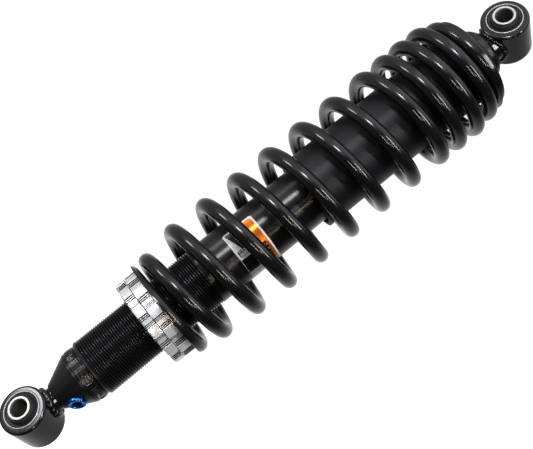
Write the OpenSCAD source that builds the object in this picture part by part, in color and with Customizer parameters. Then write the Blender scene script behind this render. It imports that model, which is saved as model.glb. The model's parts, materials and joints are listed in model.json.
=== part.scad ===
// Coil-over gas shock absorber for the rear suspension of a light vehicle.
// Origin: centre of the body-end eye bore. +Z runs along the shock to the rod-end eye.
// Both eye bores run along Y.

/* [Overall] */
// Distance between the eye centres, fully extended
eye_to_eye = 360; // [355:1:365]
// Travel of the rod into the tube
stroke = 85; // [60:1:85]

/* [Mounting eyes] */
// Outer diameter of the eye housings
eye_d = 29; // [28:0.5:32]
// Width of the eye housings along the bore
eye_w = 26; // [24:0.5:27]
// Diameter of the mounting bolt
bolt_d = 10; // [8:0.5:11]
// Overall length of the inner steel sleeve
sleeve_w = 33; // [31:0.5:36]

/* [Damper body] */
// Outer diameter of the damper tube, over the thread crests
tube_d = 36.8; // [36:0.1:37.4]
// Bore of the damper tube
tube_bore_d = 30; // [29.6:0.1:30.4]
// Pitch of the adjuster thread
thread_pitch = 1.5; // [1:0.25:2]
// Height of the open end of the tube
tube_top_z = 218; // [216:1:220]
// Diameter of the piston rod
rod_d = 12; // [11:0.5:13]

/* [Preload rings] */
// Outer diameter of the two slotted rings
ring_d = 57.2; // [54:0.2:60]
// Thickness of the lock ring
lock_ring_h = 6.4; // [6:0.1:8]
// Thickness of the preload ring
preload_ring_h = 7.4; // [6:0.1:8]
// Number of spanner slots around each ring
slot_count = 12; // [8:1:16]

/* [Spring] */
// Wire diameter
wire_d = 9.2; // [8.8:0.1:10]
// Mean coil diameter of the open coils
coil_d = 65.2; // [63:0.2:66]
// Mean coil diameter of the closed end coils
end_coil_d = 56.4; // [56:0.2:58]
// Rise per turn of the open coils at the body end
wide_pitch = 23.75; // [22:0.05:24]
// Rise per turn of the tight coils at the rod end
tight_pitch = 13.7; // [13:0.1:15]

/* [Hidden] */
$fn = 72;

run_gap = 0.05;                 // radial running clearance of sliding pieces
tube_r = tube_d / 2;
bore_r = tube_bore_d / 2;
rod_r = rod_d / 2;
eye_r = eye_d / 2;
eye_half = eye_w / 2;
eye_round = 2.5;

// rubber bushings
bush_shell_r = 11;
bush_shell_wall = 1.1;
bush_shell_half = eye_half + 0.7;
bush_sleeve_r = 7;
bush_sleeve_half = sleeve_w / 2;
bush_chamfer = 0.6;

// end cap
neck_r = 7.5;
cap_z0 = 17.5;
cap_small_r = 8.5;
cone_top_z = 34.5;
cone_top_r = 17;
cap_shoulder_z = 43;
spigot_r = bore_r + 1;
spigot_top_z = 54.5;
stud_r = 6;
stud_top_z = 24.5;
gas_port_r = 1.25;

// gas plug, set square to the cone
plug_z = 25.5;
plug_turn = -6;
plug_slope = atan((cone_top_r - cap_small_r) / (cone_top_z - cap_z0));
plug_r = cap_small_r + (plug_z - cap_z0) * tan(plug_slope);
plug_head_r = 5.5;
plug_head_h = 2.4;
plug_seat = 0.6;
plug_shank_r = 4;
plug_shank_l = 6;

// thread on the tube, drawn as ring grooves
thread_z0 = cap_shoulder_z + 1.2;
thread_depth = 0.9;
thread_count = floor(83 / thread_pitch);

// preload rings and spring seats
lock_ring_z = 82.6;
ring_gap = 0.25;
preload_ring_z = lock_ring_z + lock_ring_h + ring_gap;
seat_z = preload_ring_z + preload_ring_h + 0.05;
top_seat_z = eye_to_eye - 33;
slot_w = 7;
slot_depth = 1.9;

// spring
wire_r = wire_d / 2;
turns = 12.5;
steps_per_turn = 32;
wire_sides = 12;
first_pitch = 10.2;
last_pitch = 10.2;
spring_start_angle = 212;
spring_dip = 2.2;               // how far the first wire centre lies under the ground face

// damper internals, at full extension
piston_z = 170;
piston_h = 14;
seal_head_z = 192;
seal_head_top_z = 214;
ifp_z = 70;
ifp_h = 14;
rod_tail_r = 4;

// rod end
rod_neck_r = 10.4;
hub_top_z = eye_to_eye - 17.3;
hub_r = 16.1;
hub_round = 3.6;
retainer_r = 30;
retainer_h = 3.5;
sleeve_r = 23;
sleeve_bore_r = 21;
sleeve_z0 = 202.7;
bump_z0 = tube_top_z + stroke + 1;

// ---- helpers ----

function blend(a, b, centre, width, t) =
    let (u = min(1, max(0, (t - centre) / width + 0.5))) a + (b - a) * u * u * (3 - 2 * u);

// a squashed O-ring section turned around Z
module oring(inner_r, outer_r, z, width) {
    rotate_extrude()
        intersection() {
            translate([(inner_r + outer_r) / 2, z]) circle(d = width, $fn = 32);
            translate([inner_r, z - width]) square([outer_r - inner_r, 2 * width]);
        }
}

module tube(outer_r, inner_r, z0, z1) {
    rotate_extrude() translate([inner_r, z0]) square([outer_r - inner_r, z1 - z0]);
}

// turns a revolved shape so that its axis runs along the eye bores
module along_y() {
    rotate([-90, 0, 0]) children();
}

// half section of the eye housing: a tube with broad rounded edges
module eye_section() {
    r = eye_r - eye_round;
    difference() {
        union() {
            translate([0, -eye_half]) square([r, 2 * eye_half]);
            translate([0, -eye_half + eye_round]) square([eye_r, 2 * (eye_half - eye_round)]);
            for (s = [-1, 1]) translate([r, s * (eye_half - eye_round)]) circle(r = eye_round, $fn = 48);
        }
        translate([-eye_round - 1, -eye_half - 1]) square([bush_shell_r + eye_round + 1, eye_w + 2]);
    }
}

module eye_housing(z) {
    translate([0, 0, z]) along_y() rotate_extrude() eye_section();
}

module bush_bore_cut(z) {
    translate([0, 0, z]) along_y() cylinder(r = bush_shell_r, h = eye_w + 10, center = true);
}

module bush_shell(z) {
    translate([0, 0, z]) along_y()
        tube(bush_shell_r, bush_shell_r - bush_shell_wall, -bush_shell_half, bush_shell_half);
}

// rubber with a rounded shoulder near the sleeve and a moulded ring groove at each end
module bush_rubber(z) {
    outer = bush_shell_r - bush_shell_wall;
    inner = bush_sleeve_r + run_gap;
    face = eye_half - 0.5;
    translate([0, 0, z]) along_y() rotate_extrude() difference() {
        polygon([[inner, -face - 2.2], [inner + 0.9, -face - 2.2], [inner + 1.6, -face], [outer, -face],
            [outer, face], [inner + 1.6, face], [inner + 0.9, face + 2.2], [inner, face + 2.2]]);
        for (s = [-1, 1]) translate([outer - 0.65, s * face]) circle(r = 0.35, $fn = 24);
    }
}

module bush_sleeve(z) {
    bolt_r = bolt_d / 2;
    h = bush_sleeve_half;
    c = bush_chamfer;
    translate([0, 0, z]) along_y() rotate_extrude()
        polygon([[bolt_r + c, -h], [bush_sleeve_r - c, -h], [bush_sleeve_r, -h + c], [bush_sleeve_r, h - c],
            [bush_sleeve_r - c, h], [bolt_r + c, h], [bolt_r, h - c], [bolt_r, -h + c]]);
}

// fillet of weld between an eye housing and its neck; side is 1 for the body end, -1 for the rod end
module eye_weld(z, neck, side, size) {
    start = eye_r * 0.72;
    difference() {
        translate([0, 0, z]) mirror([0, 0, side < 0 ? 1 : 0])
            rotate_extrude() polygon([[neck, start], [neck + size, start],
                [neck + size, eye_r - 1.2], [neck + size * 0.45, eye_r + size * 0.45], [neck, eye_r + size]]);
        translate([0, 0, z]) along_y() cylinder(r = eye_r, h = eye_w + 10, center = true);
    }
}

// moves children to the plug seat, with +Z pointing out of the cap
module at_plug() {
    rotate([0, 0, plug_turn]) translate([plug_r, 0, plug_z]) rotate([0, 90 + plug_slope, 0]) children();
}

// ---- body end ----

module body_eye() {
    color("#1b1c1e") difference() {
        union() {
            eye_housing(0);
            translate([0, 0, eye_r - 3.5]) cylinder(r = neck_r, h = cap_z0 - eye_r + 3.5);
            cylinder(r = stud_r, h = stud_top_z);
        }
        bush_bore_cut(0);
    }
}

module body_eye_weld() {
    color("#141516") eye_weld(0, neck_r, 1, 2.6);
}

module body_bush_shell() {
    color("#c9ccce") bush_shell(0);
}

module body_bush_rubber() {
    color("#151515") bush_rubber(0);
}

module body_bush_sleeve() {
    color("#d2d3d2") bush_sleeve(0);
}

module end_cap() {
    groove_z = cap_shoulder_z + 5;
    color("#1a1a1c") difference() {
        rotate_extrude() polygon([[0, cap_z0], [cap_small_r, cap_z0], [cone_top_r, cone_top_z],
            [cone_top_r - 0.3, cone_top_z + 0.3], [cone_top_r - 0.3, cone_top_z + 0.8],
            [cone_top_r + 0.1, cone_top_z + 1.2], [cone_top_r + 0.1, cap_shoulder_z - 1],
            [cone_top_r - 0.5, cap_shoulder_z - 0.6], [cone_top_r - 0.5, cap_shoulder_z],
            [spigot_r, cap_shoulder_z], [spigot_r, groove_z - 1.3], [spigot_r - 1.8, groove_z - 1.3],
            [spigot_r - 1.8, groove_z + 1.3], [spigot_r, groove_z + 1.3], [spigot_r, spigot_top_z - 0.5],
            [spigot_r - 0.5, spigot_top_z], [0, spigot_top_z]]);
        cylinder(r = stud_r, h = stud_top_z);
        translate([0, 0, 33]) cylinder(r = gas_port_r, h = spigot_top_z - 32);
        translate([0, 0, spigot_top_z - 3]) cylinder(r = 10, h = 4);
        at_plug() {
            translate([0, 0, -plug_seat]) cylinder(r = plug_head_r + 0.4, h = 6);
            translate([0, 0, -plug_shank_l - plug_seat - 0.5])
                cylinder(r = plug_shank_r, h = plug_shank_l + 1);
            translate([0, 0, -plug_r / cos(plug_slope) - 0.6]) cylinder(r = gas_port_r, h = 12);
        }
    }
}

module end_cap_oring() {
    color("#101010") oring(spigot_r - 1.8, spigot_r, cap_shoulder_z + 5, 2.4);
}

// charging plug: flanged head with a hexagon socket, threaded shank
module gas_plug() {
    color("#1f6fc4") at_plug() difference() {
        union() {
            translate([0, 0, 0.6 - plug_seat]) rotate_extrude() polygon([[0, 0], [plug_head_r - 0.2, 0],
                [plug_head_r, 0.2], [plug_head_r, plug_head_h - 1.3], [plug_head_r - 0.7, plug_head_h - 0.6],
                [0, plug_head_h - 0.6]]);
            translate([0, 0, -plug_shank_l - plug_seat]) cylinder(r = plug_shank_r, h = plug_shank_l + 1);
        }
        cylinder(d = 5.77, h = 6, center = true, $fn = 6);
        translate([0, 0, plug_head_h - plug_seat - 0.6]) cylinder(r1 = 2.9, r2 = 3.9, h = 1);
    }
}

module gas_plug_oring() {
    color("#101010") at_plug() translate([0, 0, -plug_seat + 0.3])
        tube(plug_head_r - 0.4, plug_shank_r, -0.3, 0.3);
}

module damper_tube() {
    clip_z = seal_head_top_z;
    top = tube_top_z;
    threads = [for (i = [0:thread_count - 1]) let (z = thread_z0 + i * thread_pitch)
        each [[tube_r, z], [tube_r - thread_depth, z + thread_pitch * 0.42],
            [tube_r - thread_depth, z + thread_pitch * 0.5], [tube_r, z + thread_pitch * 0.92]]];
    color("#1d1d1f") rotate_extrude() polygon(concat(
        [[spigot_r, cap_shoulder_z], [tube_r - 0.6, cap_shoulder_z], [tube_r, cap_shoulder_z + 0.6]],
        threads,
        [[tube_r, top - 0.8], [tube_r - 0.8, top], [bore_r + 0.8, top], [bore_r, top - 0.8],
            [bore_r, clip_z + 1.6], [bore_r + 0.9, clip_z + 1.6], [bore_r + 0.9, clip_z], [bore_r, clip_z],
            [bore_r, spigot_top_z], [spigot_r, spigot_top_z]]));
}

// printed film wrapped part of the way round the smooth part of the tube
module body_label() {
    color("#b7b7ba") rotate([0, 0, -96]) rotate_extrude(angle = 158)
        translate([tube_r, 147.6]) square([0.15, 20.7]);
}

// ---- preload rings ----

module slotted_ring(z, h, bevel) {
    difference() {
        translate([0, 0, z]) rotate_extrude() polygon([[tube_r + run_gap + 0.8, 0], [ring_d / 2 - bevel, 0],
            [ring_d / 2, bevel], [ring_d / 2, h - 0.4], [ring_d / 2 - 0.4, h], [tube_r + run_gap + 0.8, h],
            [tube_r + run_gap, h - 0.8], [tube_r + run_gap, 0.8]]);
        for (i = [0:slot_count - 1]) rotate([0, 0, i * 360 / slot_count])
            translate([ring_d / 2 - slot_depth, -slot_w / 2, z - 1]) cube([slot_depth + 2, slot_w, h + 2]);
    }
}

module lock_ring() {
    color("#d3d5d7") slotted_ring(lock_ring_z, lock_ring_h, 1.3);
}

module preload_ring() {
    color("#d8dadc") rotate([0, 0, 11]) slotted_ring(preload_ring_z, preload_ring_h, 0.4);
}

// ---- main spring ----

function pitch_at(t) =
    blend(first_pitch, wide_pitch, 1.05, 1, t)
    + blend(0, tight_pitch - wide_pitch, 8.3, 0.6, t)
    + blend(0, last_pitch - tight_pitch, 10.9, 0.8, t);

function coil_r_at(t) =
    blend(end_coil_d, coil_d, 1.4, 1.2, t) / 2
    + blend(0, end_coil_d - coil_d, 11.45, 1.5, t) / 2;

spring_heights = [for (i = 0, z = seat_z - spring_dip; i <= turns * steps_per_turn;
    z = z + pitch_at((i + 0.5) / steps_per_turn) / steps_per_turn, i = i + 1) z];

module main_spring() {
    rings = len(spring_heights);
    points = [for (i = [0:rings - 1]) let (t = i / steps_per_turn, a = spring_start_angle + 360 * t,
            slope = atan(pitch_at(t) / (2 * PI * coil_r_at(t))))
        for (k = [0:wire_sides - 1]) let (b = 360 * k / wire_sides,
            r = coil_r_at(t) + wire_r * cos(b), lift = wire_r * sin(b))
        [r * cos(a) + lift * sin(slope) * sin(a), r * sin(a) - lift * sin(slope) * cos(a),
            spring_heights[i] + lift * cos(slope)]];
    sides = [for (i = [0:rings - 2]) for (k = [0:wire_sides - 1]) let (n = (k + 1) % wire_sides)
        [i * wire_sides + k, (i + 1) * wire_sides + k, (i + 1) * wire_sides + n, i * wire_sides + n]];
    first = [for (k = [0:wire_sides - 1]) k];
    last = [for (k = [wire_sides - 1:-1:0]) (rings - 1) * wire_sides + k];
    color("#17181a") intersection() {
        polyhedron(points = points, faces = concat([first], sides, [last]), convexity = 20);
        translate([0, 0, seat_z]) cylinder(r = coil_d, h = top_seat_z - 0.05 - seat_z);
    }
}

// ---- gas chamber ----

module floating_piston() {
    groove = ifp_z + 4;
    color("#b9bcbf") difference() {
        rotate_extrude() polygon([[0, ifp_z], [9, ifp_z], [10, ifp_z + 1], [bore_r - 1.2, ifp_z],
            [bore_r - 0.3, ifp_z + 0.9], [bore_r - 0.3, groove - 1.2], [bore_r - 2, groove - 1.2],
            [bore_r - 2, groove + 1.2], [bore_r - 0.3, groove + 1.2], [bore_r - 0.3, ifp_z + 8],
            [bore_r - 1.2, ifp_z + 8], [bore_r - 1.2, ifp_z + 12], [bore_r - 0.3, ifp_z + 12],
            [bore_r - 0.3, ifp_z + ifp_h - 0.6], [bore_r - 0.9, ifp_z + ifp_h], [0, ifp_z + ifp_h]]);
        translate([0, 0, ifp_z + 5]) cylinder(r = 8, h = ifp_h);
    }
}

module floating_piston_oring() {
    color("#101010") oring(bore_r - 2, bore_r - run_gap, ifp_z + 4, 2.2);
}

module floating_piston_band() {
    color("#3b3f2f") tube(bore_r - run_gap, bore_r - 1.2, ifp_z + 8, ifp_z + 12);
}

// ---- seal head ----

module seal_head() {
    z = seal_head_z;
    top = seal_head_top_z;
    color("#a9adb0") rotate_extrude() polygon([[rod_r + 0.4, z], [bore_r - 0.8, z], [bore_r, z + 0.8],
        [bore_r, z + 6.8], [bore_r - 1.8, z + 6.8], [bore_r - 1.8, z + 9.4], [bore_r, z + 9.4], [bore_r, top],
        [rod_r + 4, top], [rod_r + 4, top - 5], [rod_r + 0.4, top - 5], [rod_r + 0.4, top - 7],
        [rod_r + 3, top - 7], [rod_r + 3, top - 11], [rod_r + 0.4, top - 11], [rod_r + 0.4, z + 10],
        [rod_r + 1.6, z + 10], [rod_r + 1.6, z + 2], [rod_r + 0.4, z + 2]]);
}

module seal_head_oring() {
    color("#101010") oring(bore_r - 1.8, bore_r, seal_head_z + 8.1, 2.4);
}

module rod_bush() {
    color("#8a7a56") tube(rod_r + 1.6, rod_r + run_gap, seal_head_z + 2, seal_head_z + 10);
}

module rod_seal() {
    top = seal_head_top_z - 7;
    color("#1a2a1f") rotate_extrude() difference() {
        translate([rod_r + run_gap, top - 4]) square([3 - run_gap, 4]);
        translate([rod_r + 1.6, top - 4]) circle(r = 0.9, $fn = 24);
    }
}

module wiper_seal() {
    top = seal_head_top_z;
    color("#141414") rotate_extrude() polygon([[rod_r + 1.2, top - 5], [rod_r + 4, top - 5],
        [rod_r + 4, top], [rod_r + 2, top], [rod_r + 0.9, top + 1.2], [rod_r + run_gap, top + 1.2],
        [rod_r + run_gap, top + 0.4], [rod_r + 1.2, top - 1.5]]);
}

module circlip() {
    color("#8f9396") rotate([0, 0, 15]) rotate_extrude(angle = 330)
        translate([bore_r - 1.4, seal_head_top_z]) square([2.3, 1.6]);
}

// ---- piston and rod, drawn at full extension ----

module piston_rod() {
    top = eye_to_eye - 14;
    shoulder = piston_z + piston_h + 2;
    color("#dfe2e4") rotate_extrude() polygon([[0, piston_z - 10], [rod_tail_r - 0.6, piston_z - 10],
        [rod_tail_r, piston_z - 9.4], [rod_tail_r, shoulder], [rod_r, shoulder], [rod_r, top - 0.8],
        [rod_r - 0.8, top], [0, top]]);
}

module piston() {
    port_r = 1.7;
    color("#9fa3a6") difference() {
        rotate_extrude() polygon([[rod_tail_r, piston_z], [bore_r - 1.2, piston_z],
            [bore_r - 0.3, piston_z + 0.9],
            [bore_r - 0.3, piston_z + 4], [bore_r - 1.4, piston_z + 4], [bore_r - 1.4, piston_z + 10],
            [bore_r - 0.3, piston_z + 10], [bore_r - 0.3, piston_z + piston_h - 0.9],
            [bore_r - 1.2, piston_z + piston_h], [rod_tail_r, piston_z + piston_h]]);
        for (i = [0:5]) rotate([0, 0, i * 60]) translate([9, 0, piston_z - 1])
            cylinder(r = port_r, h = piston_h + 2);
    }
}

module piston_band() {
    color("#4a4438") tube(bore_r - run_gap, bore_r - 1.4, piston_z + 4, piston_z + 10);
}

// thin valve discs that shrink away from the piston face
module shim_stack(z, direction, count, first_r) {
    thick = 0.3;
    step = 0.35;
    for (i = [0:count - 1]) {
        z0 = direction > 0 ? z + i * step : z - i * step - thick;
        tube(first_r - i * 0.9, rod_tail_r, z0, z0 + thick);
    }
}

module compression_shims() {
    color("#b3b6b8") shim_stack(piston_z + piston_h, 1, 5, 12);
}

module rebound_shims() {
    color("#b3b6b8") shim_stack(piston_z, -1, 5, 11.4);
}

module piston_washer() {
    color("#b3b6b8") tube(7, rod_tail_r, piston_z - 3.2, piston_z - 1.8);
}

module piston_nut() {
    color("#a2a5a8") difference() {
        translate([0, 0, piston_z - 9]) cylinder(d = 15, h = 5.8, $fn = 6);
        translate([0, 0, piston_z - 10]) cylinder(r = rod_tail_r, h = 8);
    }
}

module top_out_spacer() {
    color("#55585a") tube(10, rod_r, piston_z + piston_h + 2, seal_head_z - 0.3);
}

// ---- rod end ----

module bump_stop() {
    top = top_seat_z + 5;
    h = top - bump_z0;
    color("#2b2a26") rotate_extrude() difference() {
        polygon([[rod_r + 0.4, bump_z0], [10, bump_z0], [12, bump_z0 + 2], [12.8, bump_z0 + h * 0.4],
            [12.8, top], [rod_r + 0.4, top]]);
        for (k = [0.3, 0.6]) translate([13.4, bump_z0 + h * k]) circle(r = 1.6, $fn = 32);
    }
}

module dust_sleeve() {
    color("#202123") rotate_extrude() polygon([[sleeve_bore_r, sleeve_z0], [sleeve_r + 0.2, sleeve_z0],
        [sleeve_r + 0.2, sleeve_z0 + 1.8], [sleeve_r, sleeve_z0 + 2.2], [sleeve_r, top_seat_z],
        [sleeve_bore_r, top_seat_z]]);
}

// dished plate with a stepped hub that bears on the neck of the rod eye
module spring_retainer() {
    rim_top = top_seat_z + retainer_h;
    round_z = hub_top_z - hub_round;
    color("#1a1b1d") difference() {
        rotate_extrude() union() {
            polygon([[0, top_seat_z], [retainer_r - 0.6, top_seat_z], [retainer_r, top_seat_z + 0.6],
                [retainer_r, rim_top], [retainer_r - 1.4, rim_top + 1.3], [hub_r + 6.4, rim_top + 3.1],
                [hub_r + 2.9, rim_top + 4.5], [hub_r + 0.4, rim_top + 6], [hub_r, rim_top + 7.5],
                [hub_r, round_z], [0, round_z]]);
            translate([0, round_z]) square([hub_r - hub_round, hub_round]);
            intersection() {
                translate([hub_r - hub_round, round_z]) circle(r = hub_round, $fn = 48);
                translate([hub_r - hub_round, round_z]) square(hub_round + 1);
            }
            translate([sleeve_bore_r - 2.5, top_seat_z - 8]) square([2.5, 8.1]);
        }
        translate([0, 0, top_seat_z - 9]) cylinder(r = 12.8, h = 14);
        cylinder(r = rod_r + run_gap, h = eye_to_eye);
    }
}

module rod_eye() {
    neck_z = hub_top_z + 0.3;
    color("#1b1c1e") difference() {
        union() {
            eye_housing(eye_to_eye);
            translate([0, 0, neck_z]) cylinder(r = rod_neck_r, h = eye_to_eye - eye_r + 4.5 - neck_z);
        }
        bush_bore_cut(eye_to_eye);
        cylinder(r = rod_r, h = eye_to_eye - 14);
    }
}

module rod_eye_weld() {
    color("#141516") eye_weld(eye_to_eye, rod_neck_r, -1, 2);
}

module rod_bush_shell() {
    color("#c9ccce") bush_shell(eye_to_eye);
}

module rod_bush_rubber() {
    color("#151515") bush_rubber(eye_to_eye);
}

module rod_bush_sleeve() {
    color("#d2d3d2") bush_sleeve(eye_to_eye);
}

body_eye();
body_eye_weld();
body_bush_shell();
body_bush_rubber();
body_bush_sleeve();
end_cap();
end_cap_oring();
gas_plug();
gas_plug_oring();
damper_tube();
body_label();
lock_ring();
preload_ring();
main_spring();
floating_piston();
floating_piston_oring();
floating_piston_band();
seal_head();
seal_head_oring();
rod_bush();
rod_seal();
wiper_seal();
circlip();
piston_rod();
piston();
piston_band();
compression_shims();
rebound_shims();
piston_washer();
piston_nut();
top_out_spacer();
bump_stop();
dust_sleeve();
spring_retainer();
rod_eye();
rod_eye_weld();
rod_bush_shell();
rod_bush_rubber();
rod_bush_sleeve();
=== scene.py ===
"""Visual model of a coil-over gas shock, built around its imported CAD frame.

Shapes are worked out in millimetres in the row frame and turned into metres when a mesh is made.
"""

import json
import math

import bmesh
import bpy
import numpy as np
from mathutils import Matrix, Vector


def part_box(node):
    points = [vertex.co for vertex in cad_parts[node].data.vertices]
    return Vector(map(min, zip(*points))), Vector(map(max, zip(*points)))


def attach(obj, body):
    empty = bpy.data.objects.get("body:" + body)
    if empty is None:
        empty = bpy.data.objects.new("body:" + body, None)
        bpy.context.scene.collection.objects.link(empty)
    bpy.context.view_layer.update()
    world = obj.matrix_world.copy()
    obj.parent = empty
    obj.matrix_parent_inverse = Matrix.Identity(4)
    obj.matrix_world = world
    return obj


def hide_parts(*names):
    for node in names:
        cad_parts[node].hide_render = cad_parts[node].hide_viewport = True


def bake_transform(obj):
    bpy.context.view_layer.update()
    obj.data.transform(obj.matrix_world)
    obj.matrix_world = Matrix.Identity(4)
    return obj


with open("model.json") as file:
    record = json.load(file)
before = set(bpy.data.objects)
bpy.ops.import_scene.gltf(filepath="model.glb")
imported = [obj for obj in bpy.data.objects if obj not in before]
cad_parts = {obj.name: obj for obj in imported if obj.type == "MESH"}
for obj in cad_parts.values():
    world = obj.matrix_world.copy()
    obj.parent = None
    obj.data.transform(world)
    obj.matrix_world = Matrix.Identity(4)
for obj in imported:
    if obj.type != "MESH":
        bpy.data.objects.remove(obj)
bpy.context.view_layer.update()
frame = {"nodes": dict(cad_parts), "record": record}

MM = 0.001
TAU = 2 * math.pi


def low(node):
    """Lowest corner of a CAD node, in millimetres."""
    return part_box(node)[0] / MM


def high(node):
    """Highest corner of a CAD node, in millimetres."""
    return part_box(node)[1] / MM


# ---- sizes that come from the frame ----

mounts = {m["name"]: m for m in frame["record"]["mounts"]}
EYE_GAP = mounts["rod_eye_bore"]["pos_m"][2] / MM
BOLT_R = mounts["body_eye_bore"]["dims"]["r_mm"]
EYE_R = high("body_eye").x
EYE_HALF = high("body_eye").y
SHELL_R = high("body_bush_shell").x
SHELL_HALF = high("body_bush_shell").y
BUSH_R = high("body_bush_sleeve").x
BUSH_HALF = high("body_bush_sleeve").y
CAP_Z0 = low("end_cap").z
TUBE_R = high("damper_tube").x
TUBE_Z0 = low("damper_tube").z
TUBE_Z1 = high("damper_tube").z
RING_R = high("preload_ring").x
LOCK_Z = (low("lock_ring").z, high("lock_ring").z)
PRELOAD_Z = (low("preload_ring").z, high("preload_ring").z)
SEAT_Z = low("main_spring").z
SLEEVE_R = high("dust_sleeve").x
SLEEVE_Z = (low("dust_sleeve").z, high("dust_sleeve").z)
RETAINER_R = high("spring_retainer").x
HUB_TOP_Z = high("spring_retainer").z
LABEL_Z = (low("body_label").z, high("body_label").z)

# ---- sizes that part.scad fixes and the frame's boxes don't give ----

SPIGOT_DEPTH = 8
TOP_SEAT_Z = low("spring_retainer").z + SPIGOT_DEPTH
TUBE_BORE_R = 15
SLEEVE_BORE_R = 21
CAP_BORE_R = 5.9
SOCKET_R = 2.5
ROD_R = 6
THREAD_PITCH = 1.5
THREAD_DEPTH = 0.9
THREAD_END_Z = 127.2
SLOT_COUNT = 12
WIRE_R = 4.6
COIL_R = 32.6
END_COIL_R = 28.2
WIDE_PITCH = 23.75
TIGHT_PITCH = 13.7
FIRST_PITCH = 10.2
LAST_PITCH = 10.2
COIL_TURNS = 12.5
COIL_START = math.radians(212)
COIL_DIP = 2.2
PRELOAD_TURNS = 1.6
CAP_SMALL_R = 8.5
CONE_TOP_Z = 34.5
CONE_TOP_R = 17
PLUG_Z = 25.5
PLUG_TURN = math.radians(-6)
NECK_R = 7.5
ROD_NECK_R = 10.4
VIEW_SIDE = math.radians(-57.5)

# changes along the wire: the turn in the middle of each change, and how many turns it takes
PITCH_OPENS = (1.05, 1)
PITCH_TIGHTENS = (8.3, 0.6)
PITCH_CLOSES = (10.9, 0.8)
COIL_WIDENS = (1.4, 1.2)
COIL_NARROWS = (11.45, 1.5)

# ---- node helpers for materials ----


class Paint:
    """A node material under construction: each method adds a node and returns its output socket."""

    def __init__(self, name):
        self.material = bpy.data.materials.new(name)
        self.material.use_nodes = True
        self.tree = self.material.node_tree
        self.shader = self.tree.nodes["Principled BSDF"]
        self.place = self.tree.nodes.new("ShaderNodeTexCoord").outputs["Object"]

    def set(self, **values):
        for key, value in values.items():
            self.shader.inputs[key.replace("_", " ")].default_value = value

    def link(self, socket, key):
        self.tree.links.new(socket, self.shader.inputs[key])

    def stretched(self, scale):
        node = self.tree.nodes.new("ShaderNodeMapping")
        node.inputs["Scale"].default_value = scale
        self.tree.links.new(self.place, node.inputs["Vector"])
        return node.outputs["Vector"]

    def noise(self, scale, detail=2.0, roughness=0.5, stretch=(1, 1, 1)):
        node = self.tree.nodes.new("ShaderNodeTexNoise")
        node.inputs["Scale"].default_value = scale
        node.inputs["Detail"].default_value = detail
        node.inputs["Roughness"].default_value = roughness
        self.tree.links.new(self.stretched(stretch), node.inputs["Vector"])
        return node.outputs["Fac"]

    def ramp(self, socket, low_in, high_in, low_out, high_out):
        node = self.tree.nodes.new("ShaderNodeMapRange")
        node.inputs["From Min"].default_value = low_in
        node.inputs["From Max"].default_value = high_in
        node.inputs["To Min"].default_value = low_out
        node.inputs["To Max"].default_value = high_out
        self.tree.links.new(socket, node.inputs["Value"])
        return node.outputs["Result"]

    def colours(self, socket, stops):
        node = self.tree.nodes.new("ShaderNodeValToRGB")
        ramp = node.color_ramp
        while len(ramp.elements) < len(stops):
            ramp.elements.new(0.5)
        for element, (position, colour) in zip(ramp.elements, stops):
            element.position = position
            element.color = (*colour, 1)
        self.tree.links.new(socket, node.inputs["Fac"])
        return node.outputs["Color"]

    def mottle(self, socket, start, end, colour, dark, light):
        """Base colour that wanders between a darker and a lighter share of colour."""
        stops = [(start, [c * dark for c in colour]), (end, [min(1, c * light) for c in colour])]
        self.link(self.colours(socket, stops), "Base Color")

    def sheen(self, socket, start, end, roughness, low_share, high_share):
        """Roughness that wanders between two shares of its usual value."""
        rough = self.ramp(socket, start, end, roughness * low_share, min(1, roughness * high_share))
        self.link(rough, "Roughness")

    def bump(self, height, strength, distance, before=None):
        node = self.tree.nodes.new("ShaderNodeBump")
        node.inputs["Strength"].default_value = strength
        node.inputs["Distance"].default_value = distance
        self.tree.links.new(height, node.inputs["Height"])
        if before is not None:
            self.tree.links.new(before, node.inputs["Normal"])
        return node.outputs["Normal"]

    def reach(self, centre, squash):
        """Distance in metres to an axis through centre, in millimetres; squash is 0 along the axis."""
        shift = self.tree.nodes.new("ShaderNodeMapping")
        shift.inputs["Location"].default_value = [-c * MM * s for c, s in zip(centre, squash)]
        shift.inputs["Scale"].default_value = squash
        self.tree.links.new(self.place, shift.inputs["Vector"])
        length = self.tree.nodes.new("ShaderNodeVectorMath")
        length.operation = "LENGTH"
        self.tree.links.new(shift.outputs["Vector"], length.inputs[0])
        return length.outputs["Value"]

    def rings(self, scale, centre=(0, 0, 0), squash=(1, 1, 0)):
        """Rings around an axis, as a lathe tool leaves on a face."""
        node = self.tree.nodes.new("ShaderNodeTexNoise")
        node.noise_dimensions = "1D"
        node.inputs["Scale"].default_value = scale
        node.inputs["Detail"].default_value = 3
        self.tree.links.new(self.reach(centre, squash), node.inputs["W"])
        return node.outputs["Fac"]


def gloss_paint(name, colour, roughness, texture):
    """Powder coat: orange-peel waves over a fine grain, with faint patches in its colour and gloss."""
    p = Paint(name)
    peel = p.noise(texture, 2)
    grain = p.noise(texture * 6, 1)
    patches = p.noise(90, 3)
    p.set(IOR=1.5)
    p.mottle(patches, 0.3, 0.75, colour, 0.8, 1.3)
    p.sheen(patches, 0.3, 0.7, roughness, 0.95, 1.07)
    fine = p.bump(grain, 0.02, 0.00003)
    p.link(p.bump(peel, 0.02, 0.0001, fine), "Normal")
    return p.material


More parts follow.
